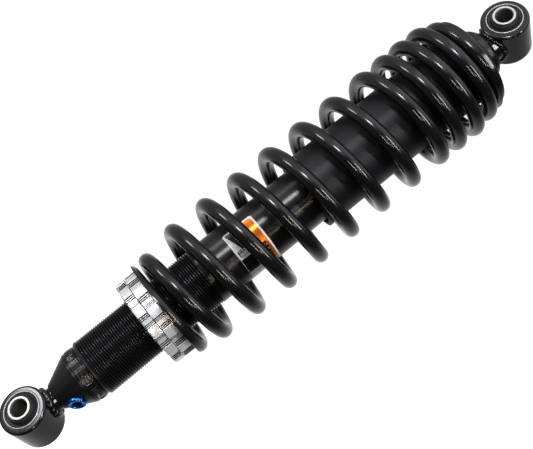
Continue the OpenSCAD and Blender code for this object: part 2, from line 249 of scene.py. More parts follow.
def turned_black(name, colour, roughness, shine, floor_r=0, crest_r=1, drawn=0.85):
    """Black turned surface: fine rings round the shaft draw each highlight out along it.

    Between floor_r and crest_r millimetres from the axis the reflection grows to shine, so that grooves
    stay dark: the turned-down reflection in the grooves is painted shade.
    """
    p = Paint(name)
    lines = p.noise(1, 2, stretch=(60, 60, 5200))
    patches = p.noise(70, 3)
    p.set(IOR=1.5, Anisotropic=drawn, Anisotropic_Rotation=0.25)
    p.mottle(patches, 0.3, 0.75, colour, 0.8, 1.35)
    p.sheen(lines, 0.2, 0.8, roughness, 0.96, 1.05)
    radius = p.reach((0, 0, 0), (1, 1, 0))
    # painted shade: the reflection fades out towards the bottom of the grooves
    p.link(p.ramp(radius, floor_r * MM, crest_r * MM, 0.03, shine), "Specular IOR Level")
    p.link(p.bump(lines, 0.03, 0.00003), "Normal")
    return p.material


def moulded(name, colour, roughness, texture):
    """Moulded plastic or rubber: a fine pebbled skin with uneven sheen."""
    p = Paint(name)
    skin = p.noise(texture, 4, 0.6)
    patches = p.noise(60, 4)
    p.mottle(patches, 0.3, 0.7, colour, 0.75, 1.4)
    p.sheen(patches, 0.3, 0.7, roughness, 0.85, 1.15)
    p.link(p.bump(skin, 0.35, 0.00006), "Normal")
    return p.material


def machined(name, colour, roughness, centre=(0, 0, 0), squash=(1, 1, 0), metallic=1.0, grain=0.12,
             stretch=(5200, 5200, 260)):
    """Bright turned metal: rings on the faces, lines along the rim, and smudges in the polish."""
    p = Paint(name)
    rings = p.rings(5200, centre, squash)
    lines = p.noise(1, 2, stretch=stretch)
    smudge = p.noise(120, 4)
    p.set(Metallic=metallic)
    p.mottle(smudge, 0.25, 0.7, colour, 0.86, 1)
    p.sheen(smudge, 0.25, 0.75, roughness, 0.94, 1.08)
    fine = p.bump(lines, grain, 0.00003)
    p.link(p.bump(rings, grain * 2.5, 0.00004, fine), "Normal")
    return p.material


def film(name, colour, roughness, metallic):
    """Printed label film: a slight brushed shimmer that draws highlights out along the tube."""
    p = Paint(name)
    brush = p.noise(1, 3, stretch=(900, 900, 5000))
    p.set(Metallic=metallic, Anisotropic=0.9, Anisotropic_Rotation=0.25)
    p.mottle(brush, 0.3, 0.7, colour, 0.85, 1.1)
    p.sheen(brush, 0.2, 0.8, roughness, 0.95, 1.06)
    p.link(p.bump(brush, 0.02, 0.00002), "Normal")
    return p.material


DEEP_BLACK = (0.006, 0.006, 0.007)
LATHE_LINES = (90, 90, 4000)
BORE_SQUASH = (1, 0, 1)

SPRING_PAINT = gloss_paint("spring_paint", DEEP_BLACK, 0.18, 700)
EYE_PAINT = gloss_paint("eye_paint", DEEP_BLACK, 0.13, 900)
WELD_PAINT = gloss_paint("weld_paint", DEEP_BLACK, 0.1, 1500)
RETAINER_PAINT = gloss_paint("retainer_paint", DEEP_BLACK, 0.17, 800)
# the thread's grooves on the tube get painted shade from the reflection ramp
TUBE_BLACK = turned_black("tube_black", DEEP_BLACK, 0.3, 0.6, TUBE_R - 0.8, TUBE_R - 0.1)
MARK_GLOSS = gloss_paint("mark_gloss", (0.02, 0.019, 0.018), 0.16, 900)
CAP_BLACK = turned_black("cap_black", (0.006, 0.006, 0.006), 0.3, 0.4)
SLEEVE_BLACK = turned_black("sleeve_black", (0.007, 0.007, 0.009), 0.5, 0.35, drawn=0.5)
RUBBER = moulded("bush_rubber", (0.011, 0.011, 0.012), 0.5, 2400)
SEAL_RUBBER = moulded("seal_rubber", (0.02, 0.02, 0.02), 0.55, 3000)
BUMP_FOAM = moulded("bump_foam", (0.07, 0.06, 0.045), 0.8, 1300)
BAND_PLASTIC = moulded("band_plastic", (0.1, 0.1, 0.07), 0.6, 2500)
RING_ALUMINIUM = machined("ring_aluminium", (0.97, 0.97, 0.97), 0.3, metallic=0.45, grain=0.006,
                          stretch=LATHE_LINES)
# painted shade: a dark copy of the ring metal for the faces in the rims' narrow grooves
RING_PAINTED_SHADE = machined("ring_shade", (0.03, 0.03, 0.03), 0.4, metallic=0.3, grain=0.01,
                      stretch=LATHE_LINES)
# a dark steel for the eye sleeves' bores, used on their chamfers as painted shade
BORE_AND_SHADE_STEEL = machined("bore_steel", (0.11, 0.1, 0.09), 0.5, metallic=0.5)
INNER_ALUMINIUM = machined("inner_aluminium", (0.7, 0.71, 0.72), 0.3)
STEEL = machined("plain_steel", (0.5, 0.5, 0.5), 0.32)
BRONZE = machined("bush_bronze", (0.5, 0.38, 0.22), 0.35)
CHROME = machined("chromed_rod", (0.82, 0.83, 0.84), 0.08)
BODY_BUSH_STEEL = machined("body_bush_steel", (0.78, 0.77, 0.75), 0.32, (0, 0, 0), BORE_SQUASH,
                           metallic=0.4)
ROD_BUSH_STEEL = machined("rod_bush_steel", (0.7, 0.69, 0.67), 0.32, (0, 0, EYE_GAP), BORE_SQUASH,
                          metallic=0.4)
BLUE = machined("blue_anodised", (0.02, 0.22, 0.72), 0.22)
FILM_SILVER = film("film_silver", (0.98, 0.98, 0.98), 0.32, 0.0)
FILM_ORANGE = film("film_orange", (0.85, 0.2, 0.012), 0.3, 0.6)
FILM_BLACK = film("film_black", (0.008, 0.008, 0.009), 0.25, 0.0)
FILM_GREY = film("film_grey", (0.62, 0.62, 0.58), 0.35, 0.2)

# ---- mesh helpers ----


def around(radius, angle, height):
    """The point at this radius, angle and height from the shock's axis."""
    return Vector((radius * math.cos(angle), radius * math.sin(angle), height))


def rounded(corners, steps=4):
    """A closed outline from (a, b) or (a, b, radius) corners, each radius drawn as a short curve."""
    points = []
    count = len(corners)
    for i, corner in enumerate(corners):
        here = np.array(corner[:2], float)
        radius = corner[2] if len(corner) > 2 else 0
        if not radius:
            points.append(tuple(here))
            continue
        to_last = np.array(corners[i - 1][:2], float) - here
        to_next = np.array(corners[(i + 1) % count][:2], float) - here
        last_len, next_len = np.linalg.norm(to_last), np.linalg.norm(to_next)
        to_last, to_next = to_last / last_len, to_next / next_len
        half = math.acos(np.clip(to_last @ to_next, -1, 1)) / 2
        cut = min(radius / math.tan(half), last_len * 0.49, next_len * 0.49)
        start, end = here + to_last * cut, here + to_next * cut
        for k in range(steps + 1):
            t = k / steps
            # a quadratic curve through the corner's two tangent points
            points.append(tuple((1 - t) ** 2 * start + 2 * t * (1 - t) * here + t * t * end))
    return points


def build(name, verts, faces, material, body=None, slot=None, replaces=(), sharp=38, merge=True):
    """A mesh object from vertices in millimetres, smoothly shaded with crisp corners."""
    mesh = bpy.data.meshes.new(name)
    mesh.from_pydata([Vector(v) * MM for v in verts], [], faces)
    obj = bpy.data.objects.new(name, mesh)
    bpy.context.scene.collection.objects.link(obj)
    tidy_mesh(mesh, sharp, merge)
    mesh.materials.append(material)
    even = obj.modifiers.new("even_normals", "WEIGHTED_NORMAL")
    even.keep_sharp = True
    if replaces:
        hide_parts(*replaces)
    if body:
        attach(obj, body)
    return obj


def tidy_mesh(mesh, sharp, merge):
    """Merges doubled points, turns every face outwards and marks edges beyond sharp degrees."""
    work = bmesh.new()
    work.from_mesh(mesh)
    if merge:
        bmesh.ops.remove_doubles(work, verts=work.verts, dist=1e-7)
        bmesh.ops.dissolve_degenerate(work, edges=work.edges, dist=1e-8)
    bmesh.ops.recalc_face_normals(work, faces=work.faces)
    work.to_mesh(mesh)
    work.free()
    mesh.shade_smooth()
    mesh.set_sharp_from_angle(angle=math.radians(sharp))


def grid_faces(rows, columns, wrap_rows=True, wrap_columns=True):
    """Quads between neighbouring points of a rows x columns grid of vertices."""
    faces = []
    for i in range(rows if wrap_rows else rows - 1):
        for j in range(columns if wrap_columns else columns - 1):
            a = i * columns + j
            b = i * columns + (j + 1) % columns
            c = ((i + 1) % rows) * columns + (j + 1) % columns
            d = ((i + 1) % rows) * columns + j
            faces.append((a, b, c, d))
    return faces


def end_faces(rows, columns):
    """The two faces that close a grid at its first and its last row."""
    last = (rows - 1) * columns
    return [tuple(range(columns)), tuple(reversed(range(last, last + columns)))]


def turned(points, segments=128, place=None):
    """Vertices and faces of an outline (r, z) turned around Z, then moved by place."""
    verts = [around(r, TAU * s / segments, z) for s in range(segments) for r, z in points]
    if place is not None:
        verts = [place @ v for v in verts]
    return verts, grid_faces(segments, len(points))


def lathe(name, corners, material, body, slot, replaces, segments=128, place=None):
    verts, faces = turned(rounded(corners), segments, place)
    return build(name, verts, faces, material, body, slot, replaces)


def joined(parts):
    """One vertex and face list from several."""
    verts, faces = [], []
    for more_verts, more_faces in parts:
        faces += [tuple(i + len(verts) for i in face) for face in more_faces]
        verts += list(more_verts)
    return verts, faces


def swept(path, section_of, closed):
    """A tube along path; section_of(i) gives (u, v) offsets along each frame's side and up directions."""
    sections = []
    for i, (centre, side, up) in enumerate(path):
        sections.append([centre + side * u + up * v for u, v in section_of(i)])
    width = len(sections[0])
    verts = [v for section in sections for v in section]
    faces = grid_faces(len(path), width, closed)
    if not closed:
        faces += end_faces(len(path), width)
    return verts, faces


ALONG_Y = Matrix.Rotation(math.radians(-90), 4, "X")


def at_eye(z):
    """Turns a revolved shape's axis to lie along the eye bore at height z."""
    return Matrix.Translation((0, 0, z)) @ ALONG_Y


# ---- eyes and bushings ----


def eye_housing(z):
    corners = [(SHELL_R, -EYE_HALF, 0.3), (EYE_R, -EYE_HALF, 3.2),
               (EYE_R, EYE_HALF, 3.2), (SHELL_R, EYE_HALF, 0.3)]
    return turned(rounded(corners, 7), 144, at_eye(z))


def neck(radius, z0, z1):
    corners = [(0, z0), (radius, z0, 0.5), (radius, z1, 0.5), (0, z1)]
    return turned(rounded(corners), 64)


def weld_bead(z, radius, side, size, lumps):
    """A lumpy fillet where a round neck meets the eye housing; side is +1 above the eye, -1 below."""
    steps = lumps * 16
    sides = 20
    path = []
    sizes = []
    for i in range(steps):
        a = TAU * i / steps
        reach = radius + size * 0.2
        foot = math.sqrt(max(EYE_R**2 - (reach * math.cos(a)) ** 2, 0))
        centre = around(reach, a, z + side * (foot + size * 0.1))
        path.append((centre, around(1, a, 0), Vector((0, 0, side))))
        # each puddle swells and then dips where the next one starts, and no two are alike
        wander = 0.22 * math.sin(2 * a + 0.7) + 0.13 * math.sin(5 * a + 2.1)
        wave = (lumps * a / TAU + wander) % 1
        swell = math.sqrt(max(1 - (1.8 * wave - 0.9) ** 2, 0))
        sizes.append(size * (0.7 + 0.3 * swell + 0.05 * math.sin(3 * a)))

    def section(i):
        return [(sizes[i] * math.cos(TAU * k / sides), sizes[i] * 0.85 * math.sin(TAU * k / sides))
                for k in range(sides)]

    return swept(path, section, True)


def mirrored(half):
    """A full outline across the eye from (radius, distance from its middle, rounding) corners."""
    return half + [(r, -h, f) for r, h, f in reversed(half)]


def eye_set(prefix, body, sleeve_body, z, steel):
    """Bushing shell, rubber and inner sleeve of one eye."""
    place = at_eye(z)
    inner = SHELL_R - 0.5
    shell = [(inner, -SHELL_HALF, 0.25), (SHELL_R, -SHELL_HALF, 0.35),
             (SHELL_R, SHELL_HALF, 0.35), (inner, SHELL_HALF, 0.25)]
    lathe(prefix + "_shell_visual", shell, steel, body, "bush_steel", [prefix + "_shell"], 160, place)
    face = EYE_HALF - 0.6
    hub = BUSH_R + 0.06
    rubber = mirrored([(hub, face + 2.4, 0.1), (hub + 0.7, face + 2.5, 0.3), (hub + 1.25, face + 0.3, 0.4),
                       (hub + 1.45, face - 0.35, 0.2), (hub + 1.8, face - 0.1, 0.15),
                       (inner - 0.75, face + 0.15, 0.15), (inner - 0.6, face - 0.5, 0.1),
                       (inner - 0.25, face - 0.5, 0.1), (inner, face + 0.1, 0.15)])
    lathe(prefix + "_rubber_visual", rubber, RUBBER, body, "bush_rubber", [prefix + "_rubber"], 160, place)
    chamfer = 0.6
    tube = [(BOLT_R, -BUSH_HALF + 0.7, 0.2), (BOLT_R + chamfer, -BUSH_HALF, 0.1), (BUSH_R, -BUSH_HALF, 0.45),
            (BUSH_R, BUSH_HALF, 0.45), (BOLT_R + chamfer, BUSH_HALF, 0.1), (BOLT_R, BUSH_HALF - 0.7, 0.2)]
    sleeve = lathe(prefix + "_sleeve_visual", tube, steel, sleeve_body, "bush_steel", [prefix + "_sleeve"],
                   128, place)
    # only the end faces keep the bright steel: the bore and the outside take a dark steel, which on the inner
    # and outer chamfers is painted shade
    sleeve.data.materials.append(BORE_AND_SHADE_STEEL)
    for polygon in sleeve.data.polygons:
        reach = math.hypot(polygon.center.x, polygon.center.z - z * MM) / MM
        if not BOLT_R + 0.5 < reach < BUSH_R - 0.35:
            polygon.material_index = 1


def make_eyes():
    parts = joined([eye_housing(0), neck(NECK_R, EYE_R - 3, CAP_Z0 + 0.5)])
    build("body_eye_visual", *parts, EYE_PAINT, "damper_body", "black_gloss_paint", ["body_eye"])
    build("body_weld_visual", *weld_bead(0, NECK_R, 1, 2.5, 9), WELD_PAINT, "damper_body",
          "black_gloss_paint", ["body_eye_weld"])
    parts = joined([eye_housing(EYE_GAP), neck(ROD_NECK_R, HUB_TOP_Z + 0.3, EYE_GAP - EYE_R + 4)])
    build("rod_eye_visual", *parts, EYE_PAINT, "rod_assembly", "black_gloss_paint", ["rod_eye"])
    build("rod_weld_visual", *weld_bead(EYE_GAP, ROD_NECK_R, -1, 1.6, 13), WELD_PAINT, "rod_assembly",
          "black_gloss_paint", ["rod_eye_weld"])
    eye_set("body_bush", "damper_body", "body_eye_sleeve", 0, BODY_BUSH_STEEL)
    eye_set("rod_bush", "rod_assembly", "rod_eye_sleeve", EYE_GAP, ROD_BUSH_STEEL)


# ---- end cap and gas plug ----


def plug_matrix():
    """Moves a shape from Z up at the origin to the plug's seat on the cone."""
    slope = math.atan2(CONE_TOP_R - CAP_SMALL_R, CONE_TOP_Z - CAP_Z0)
    seat_r = CAP_SMALL_R + (PLUG_Z - CAP_Z0) * math.tan(slope)
    turn = Matrix.Rotation(PLUG_TURN, 4, "Z")
    move = Matrix.Translation((seat_r, 0, PLUG_Z))
    tilt = Matrix.Rotation(math.radians(90) + slope, 4, "Y")
    return turn @ move @ tilt


def band_bar(angle, z0, z1, radius, width, proud):
    """A small raised pad on a round band, width millimetres round it, with rounded edges."""
    sunk = 0.1
    half = width / 2 / radius
    steps = max(6, int(width * 3))
    edge = min(0.3, width / 2)
    corners = rounded([(z0, 0), (z0, proud, proud), (z1, proud, proud), (z1, 0)], 3)
    verts = []
    for k in range(steps + 1):
        a = angle - half + 2 * half * k / steps
        near = min(k, steps - k) / steps * width / edge
        rise = math.sin(min(near, 1) * math.pi / 2)
        verts += [around(radius - sunk + (h + sunk) * rise, a, z) for z, h in corners]
    faces = grid_faces(steps + 1, len(corners), False)
    return verts, faces + end_faces(steps + 1, len(corners))


def cap_marks(z0, z1, radius):
    """Three fields of raised marks: a frame with short strokes in it and longer strokes at its sides."""
    field_width = 12.6
    field_half = 0.35
    bar = 0.8
    rise = 0.3
    step = 0.085
    bars = []
    for group in range(3):
        middle = VIEW_SIDE + math.radians(120 * group)
        for z in (z0, z1 - bar):
            bars.append(band_bar(middle, z, z + bar, radius, field_width, rise))
        for side in (-1, 1):
            bars.append(band_bar(middle + side * field_half, z0, z1, radius, bar, rise))
        for k in range(-3, 4):
            foot = z0 + 1.4 + 0.5 * (k % 2)
            bars.append(band_bar(middle + k * step, foot, foot + 2.0 + 0.5 * (k % 3), radius, 0.7, rise))
        for k in range(6):
            for side in (-1, 1):
                a = middle + side * (0.58 + k * step)
                bars.append(band_bar(a, z0 + 0.6, z1 - 0.6 - 0.9 * (k % 2), radius, bar, rise))
    return joined(bars)


def make_end_cap():
    top = TUBE_Z0
    r = CONE_TOP_R
    band_r = r + 0.1
    corners = [(CAP_BORE_R, CAP_Z0, 0.2), (CAP_SMALL_R, CAP_Z0, 0.5), (r, CONE_TOP_Z, 0.7),
               (r, CONE_TOP_Z + 0.5, 0.1), (r - 0.35, CONE_TOP_Z + 0.6, 0.1),
               (r - 0.35, CONE_TOP_Z + 1.0, 0.1), (band_r, CONE_TOP_Z + 1.3, 0.25),
               (band_r, top - 1.3, 0.35), (r - 0.5, top - 0.8, 0.15), (r - 0.5, top + 0.02, 0.1),
               (CAP_BORE_R, top + 0.02)]
    cap = lathe("end_cap_visual", corners, CAP_BLACK, None, "black_anodised", ["end_cap"], 160)
    hole = cylinder_cut("plug_hole", 5.8, 8, plug_matrix() @ Matrix.Translation((0, 0, 3.4)))
    cut(cap, hole)
    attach(cap, "damper_body")
    marks = cap_marks(CONE_TOP_Z + 1.7, top - 1.7, band_r)
    build("end_cap_marks", *marks, MARK_GLOSS, "damper_body", "black_anodised")


def cylinder_cut(name, radius, height, place):
    corners = [(0, -height / 2), (radius, -height / 2), (radius, height / 2), (0, height / 2)]
    verts, faces = turned(corners, 96, place)
    return build(name, verts, faces, CAP_BLACK)


def cut(obj, tool):
    """Subtracts tool from obj and removes tool."""
    for o in (obj, tool):
        for m in list(o.modifiers):
            if m.type == "WEIGHTED_NORMAL":
                o.modifiers.remove(m)
    boolean = obj.modifiers.new("cut", "BOOLEAN")
    boolean.operation = "DIFFERENCE"
    boolean.object = tool
    boolean.solver = "EXACT"
    dg = bpy.context.evaluated_depsgraph_get()
    result = bpy.data.meshes.new_from_object(obj.evaluated_get(dg))
    obj.modifiers.clear()
    obj.data = result
    bpy.data.objects.remove(tool)
    obj.data.shade_smooth()
    obj.data.set_sharp_from_angle(angle=math.radians(30))
    even = obj.modifiers.new("even_normals", "WEIGHTED_NORMAL")
    even.keep_sharp = True


def make_gas_plug():
    """A flanged plug with a hexagon socket, drawn on one lathe grid."""
    flange = ((5.1, -0.6), (5.5, -0.35), (5.5, 0.55), (5.4, 0.85), (5.15, 1.1), (4.85, 1.2),
              (4.1, 1.25), (3.85, 1.15), (3.6, 0.75), (3.3, 0.6))
    socket = ((3.0, 0.55), (SOCKET_R, 0.2), (SOCKET_R, -2.4), (SOCKET_R * 0.5, -2.7), (0, -2.9))
    count = 96
    rows = len(flange) + len(socket)
    place = plug_matrix()
    verts = []
    for i in range(count):
        a = TAU * i / count
        flat = math.cos((a % (TAU / 6)) - TAU / 12)
        verts += [place @ around(r, a, z) for r, z in flange]
        verts += [place @ around(r / flat, a, z) for r, z in socket]
    faces = grid_faces(count, rows, True, False)
    faces.append(tuple(i * rows for i in range(count)))
    build("gas_plug_visual", verts, faces, BLUE, "damper_body", "blue_anodised", ["gas_plug"], 30)


# ---- damper tube ----


def make_tube():
    """The tube with a true helical thread: four rows of points follow each turn of the thread."""
    segments = 120
    z0, z1 = TUBE_Z0 + 0.9, THREAD_END_Z
    # share of a turn and share of the thread's depth
    profile = ((0.0, 0.0), (0.42, 1.0), (0.5, 1.0), (0.92, 0.0))
    turns = int((z1 - z0) / THREAD_PITCH) + 2
    rows = [(turn + share, depth) for turn in range(-1, turns) for share, depth in profile]
    columns = segments + 1
    verts = []
    for along, depth in rows:
        for s in range(columns):
            z = z0 + THREAD_PITCH * (along + s / segments)
            z = min(max(z, z0), z1)
            fade = min(1, max(0, (z - z0) / 1.2), max(0, (z1 - z) / 1.6))
            verts.append(around(TUBE_R - THREAD_DEPTH * depth * fade, TAU * s / segments, z))
    thread = (verts, grid_faces(len(rows), columns, False, False))
    bore = TUBE_BORE_R
    socket_top = TUBE_Z0 + 11
    ends = rounded([(TUBE_R, z1), (TUBE_R, TUBE_Z1, 0.8), (bore, TUBE_Z1, 0.6), (bore, socket_top),
                    (bore + 1, socket_top), (bore + 1, TUBE_Z0), (TUBE_R - 0.7, TUBE_Z0, 0.1), (TUBE_R, z0)])
    end_verts, _ = turned(ends, segments)
    smooth = (end_verts, grid_faces(segments, len(ends), True, False))
    build("damper_tube_visual", *joined([thread, smooth]), TUBE_BLACK, "damper_body", "black_anodised",
          ["damper_tube"], 34)


# ---- label film ----


def film_patch(name, degrees, edges, layer, material, steps=40):
    """A thin patch on the tube; edges(t) gives its lower and upper z at share t of the way round."""
    r0 = TUBE_R + 0.005
    r1 = TUBE_R + 0.04 + 0.03 * layer
    verts = []
    for i in range(steps + 1):
        t = i / steps
        a = math.radians(degrees[0] + (degrees[1] - degrees[0]) * t)
        z_low, z_high = edges(t)
        verts += [around(r, a, z) for r, z in ((r0, z_low), (r1, z_low), (r1, z_high), (r0, z_high))]
    faces = grid_faces(steps + 1, 4, False) + end_faces(steps + 1, 4)
    return build(name, verts, faces, material, "damper_body", "label_film", (), 30)


def panel(name, degrees, z0, z1, corners, layer, material):
    """A rectangle of film. corners holds the radii of its lower and upper pair of corners."""
    length = TUBE_R * math.radians(degrees[1] - degrees[0])

    def inset(t, corner):
        short = max(corner - min(t, 1 - t) * length, 0)
        return corner - math.sqrt(max(corner**2 - short**2, 0))

    def edges(t):
        return z0 + inset(t, corners[0]), z1 - inset(t, corners[1])

    return film_patch(name, degrees, edges, layer, material, 120)


def make_label():
    """Generic panels: a silver film with a black panel, an orange panel, a flash, stripes and dashes."""
    z0, z1 = LABEL_Z
    split = z0 + 9.5
    border = 1.1
    base = panel("label_base", (-96, 62), z0, z1, (1.0, 1.6), 0, FILM_SILVER)
    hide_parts("body_label")
    panel("label_dark", (-92.4, -42.5), z0 + border, split, (0.7, 0.3), 1, FILM_BLACK)
    panel("label_gap", (-38.5, -6), z0 + 0.25, split, (0.3, 0.3), 1, FILM_BLACK)
    panel("label_orange", (-92.4, 58), split + 0.4, z1 - border, (0.4, 1.8), 1, FILM_ORANGE)
    panel("label_grey", (-1, 54), z0 + border, split - 0.6, (0.4, 0.4), 1, FILM_GREY)
    film_patch("label_flash", (-91, -55), lambda t: (z0 + border + 0.1, z0 + border + 0.2 + 3.7 * t), 2,
               FILM_SILVER)
    panel("label_foot", (-50, -44), z0 + 1.7, z0 + 7.4, (0.2, 0.2), 2, FILM_GREY)
    for k in range(3):
        panel(f"label_tick_{k}", (-53.6, -51.8), z0 + 1.8 + 1.9 * k, z0 + 3.1 + 1.9 * k, (0.1, 0.1), 2,
              FILM_SILVER)
    for k in range(6):
        start = -41 + 9.5 * k
        panel(f"label_dash_{k}", (start, start + 4.6), split + 4.9, z1 - 2.6, (0.2, 0.2), 2, FILM_BLACK)
        panel(f"label_dot_{k}", (start + 6, start + 7.6), split + 5.8, z1 - 3.4, (0.2, 0.2), 2, FILM_BLACK)


# ---- preload rings ----


# one side of a spanner slot: distance from the slot's middle round the ring, and depth
SLOT_STEPS = ((0, 2.0), (0.8, 1.85), (1.4, 1.9), (1.5, 2.4), (1.85, 2.4), (1.95, 1.4), (2.4, 1.35),
              (2.5, 1.85), (2.85, 1.85), (2.95, 0.85), (3.4, 0.75), (3.5, 1.25), (3.85, 1.25),
              (3.95, 0.25), (4.3, 0.0))

# where the narrow grooves between the steps lie, as distances round the ring
GROOVES = ((1.45, 1.9), (2.45, 2.9), (3.45, 3.9))
GROOVE_SPREAD = 0.04


def slot_outline(outer, count):
    """Outline of a ring with stepped spanner slots between round lands."""
    points = []
    pitch = TAU / count
    half = [(step / outer, outer - depth) for step, depth in SLOT_STEPS]
    for i in range(count):
        centre = i * pitch
        points += [(r, centre - a) for a, r in reversed(half[1:])]
        points += [(r, centre + a) for a, r in half]
        first, last = centre + half[-1][0], centre + pitch - half[-1][0]
        points += [(outer, first + (last - first) * k / 8) for k in range(1, 8)]
    return [(r * math.cos(a), r * math.sin(a)) for r, a in points]


def inward(outline, distance):
    """The closed outline moved inward by distance along its own normals."""
    count = len(outline)
    moved = []
    for i in range(count):
        (x0, y0), (x1, y1) = outline[i - 1], outline[(i + 1) % count]
        dx, dy = x1 - x0, y1 - y0
        length = math.hypot(dx, dy)
        moved.append((outline[i][0] - dy / length * distance, outline[i][1] + dx / length * distance))
    return moved


def slotted_ring(name, node, z, turn, bevel_low, bevel_high):
    """A preload ring with a beveled, slotted rim; z holds its lower and upper face."""
    outline = slot_outline(RING_R, SLOT_COUNT)
    bore = TUBE_R + 0.07
    land = RING_R - 3.4
    rim = ((bevel_low, z[0]), (bevel_low * 0.3, z[0] + bevel_low * 0.3), (0, z[0] + bevel_low),
           (0, z[1] - bevel_high), (bevel_high * 0.3, z[1] - bevel_high * 0.3), (bevel_high, z[1]))
    loops = []
    for offset, height in rim:
        shaped = inward(outline, offset) if offset else outline
        loops.append([Vector((x, y, height)) for x, y in shaped])
    for r, height in ((land, z[1]), (bore + 1.2, z[1]), (bore, z[1] - 1.2), (bore, z[0] + 1.2),
                      (bore + 1.2, z[0]), (land, z[0])):
        loops.append([around(r, math.atan2(y, x), height) for x, y in outline])
    rotate = Matrix.Rotation(turn, 4, "Z")
    verts = [rotate @ v for loop in loops for v in loop]
    ring = build(name, verts, grid_faces(len(loops), len(outline)), RING_ALUMINIUM, node,
                 "machined_aluminium", [node], 24)
    paint_groove_shade(ring, turn)


def paint_groove_shade(ring, turn):
    """Gives the faces in the rim's narrow grooves their dark material, as painted shade."""
    ring.data.materials.append(RING_PAINTED_SHADE)
    pitch = TAU / SLOT_COUNT
    for polygon in ring.data.polygons:
        x, y = polygon.center.x / MM, polygon.center.y / MM
        across = abs((math.atan2(y, x) - turn + pitch / 2) % pitch - pitch / 2) * RING_R
        groove = any(a - GROOVE_SPREAD < across < b + GROOVE_SPREAD for a, b in GROOVES)
        if groove and math.hypot(x, y) > RING_R - 3:
            polygon.material_index = 1


def make_rings():
    slotted_ring("lock_ring_visual", "lock_ring", LOCK_Z, 0, 1.1, 0.45)
    slotted_ring("preload_ring_visual", "preload_ring", PRELOAD_Z, math.radians(11), 0.45, 0.4)


# ---- main spring ----


def ease(a, b, change, t):
    """From a to b around the change's middle turn, over its width in turns."""
    centre, width = change
    u = min(1, max(0, (t - centre) / width + 0.5))
    return a + (b - a) * u * u * (3 - 2 * u)


def pitch_at(t):
    return (ease(FIRST_PITCH, WIDE_PITCH, PITCH_OPENS, t)
            + ease(0, TIGHT_PITCH - WIDE_PITCH, PITCH_TIGHTENS, t)
            + ease(0, LAST_PITCH - TIGHT_PITCH, PITCH_CLOSES, t))


def coil_radius_at(t):
    return ease(END_COIL_R, COIL_R, COIL_WIDENS, t) + ease(0, END_COIL_R - COIL_R, COIL_NARROWS, t)


def coil_path(steps_per_turn):
    """Turn count, height, angle and radius at each step along the wire."""
    rows = []
    z = SEAT_Z - COIL_DIP
    for i in range(int(COIL_TURNS * steps_per_turn) + 1):
        t = i / steps_per_turn
        rows.append((t, z, COIL_START + TAU * t, coil_radius_at(t)))
        z += pitch_at(t + 0.5 / steps_per_turn) / steps_per_turn
    return rows


def ground_section(centre_z, sides):
    """The wire's round section, flattened where a ground end face cuts it."""
    bottom = SEAT_Z - centre_z
    top = TOP_SEAT_Z - centre_z
    points = []
    for k in range(sides):
        u = WIRE_R * math.cos(TAU * k / sides)
        v = WIRE_R * math.sin(TAU * k / sides)
        for limit, beyond in ((bottom, v < bottom), (top, v > top)):
            if beyond:
                chord = math.sqrt(max(WIRE_R**2 - limit**2, 0))
                u = min(max(u, -chord), chord)
                v = limit
        points.append((u, v))
    return points


def spring_piece(name, rows):
    """One stretch of the wire."""
    sides = 36
    path = []
    for t, z, a, r in rows:
        lean = math.atan(pitch_at(t) / (TAU * r))
        up = Vector((math.sin(lean) * math.sin(a), -math.sin(lean) * math.cos(a), math.cos(lean)))
        # the sections stand upright where the wire is ground flat at either seat
        free = min(1, max(0, (abs(z - SEAT_Z) - 1) / 6), max(0, (abs(z - TOP_SEAT_Z) - 1) / 6))
        up = (up * free + Vector((0, 0, 1)) * (1 - free)).normalized()
        path.append((around(r, a, z), around(1, a, 0), up))
    verts, faces = swept(path, lambda i: ground_section(rows[i][1], sides), False)
    obj = build(name, verts, faces, SPRING_PAINT, None, "spring_paint", (), 50, False)
    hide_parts("main_spring")
    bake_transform(obj)


def make_spring():
    """Two stretches: the first PRELOAD_TURNS turns and the rest."""
    steps = 72
    rows = coil_path(steps)
    split = int(PRELOAD_TURNS * steps)
    lower = rows[: split + 1]
    upper = rows[split:]
    spring_piece("spring_lower", lower)
    spring_piece("spring_upper", upper)


# ---- rod side ----


def make_dust_sleeve():
    z0, z1 = SLEEVE_Z
    wall = SLEEVE_R - 0.2
    inner = SLEEVE_BORE_R
    corners = [(inner + 0.1, z0, 0.2), (SLEEVE_R, z0, 0.45), (SLEEVE_R, z0 + 1.9, 0.25),
               (wall, z0 + 2.1, 0.2), (wall, z1), (inner, z1), (inner, z0 + 1.0, 0.3)]
    lathe("dust_sleeve_visual", corners, SLEEVE_BLACK, "upper_seat", "sleeve_plastic", ["dust_sleeve"], 160)
    seams = []
    for side in (0, math.pi):
        a = VIEW_SIDE - math.radians(22) + side
        seams.append(band_bar(a, z0 + 2.4, z1 - 1, wall, 0.5, 0.09))
    build("dust_sleeve_seams", *joined(seams), SLEEVE_BLACK, "upper_seat", "sleeve_plastic")


def make_retainer():
    z0 = TOP_SEAT_Z
    r = RETAINER_R
    top = HUB_TOP_Z
    foot = z0 - SPIGOT_DEPTH
    bore = ROD_R + 0.06
    spigot = SLEEVE_BORE_R - 0.05
    corners = [(bore, z0 + 5, 0.1), (12.8, z0 + 5, 0.3), (12.8, foot, 0.2), (18.5, foot, 0.1),
               (spigot, foot, 0.4), (spigot, z0), (r, z0, 0.6), (r, z0 + 4.0, 1.6), (r - 3.2, z0 + 5.2, 0.9),
               (24.6, z0 + 5.5, 0.9), (21.4, z0 + 7.0, 1.2), (18.2, z0 + 8.5, 1.4), (16.2, z0 + 10.2, 1.4),
               (16.0, top - 2.6, 1.8), (13.6, top, 1.4), (bore, top, 0.4)]
    verts, faces = turned(rounded(corners, 6), 160)
    build("spring_retainer_visual", verts, faces, RETAINER_PAINT, "upper_seat", "retainer_paint",
          ["spring_retainer"])


# ---- CAD nodes that stay as they are and take a finished material ----

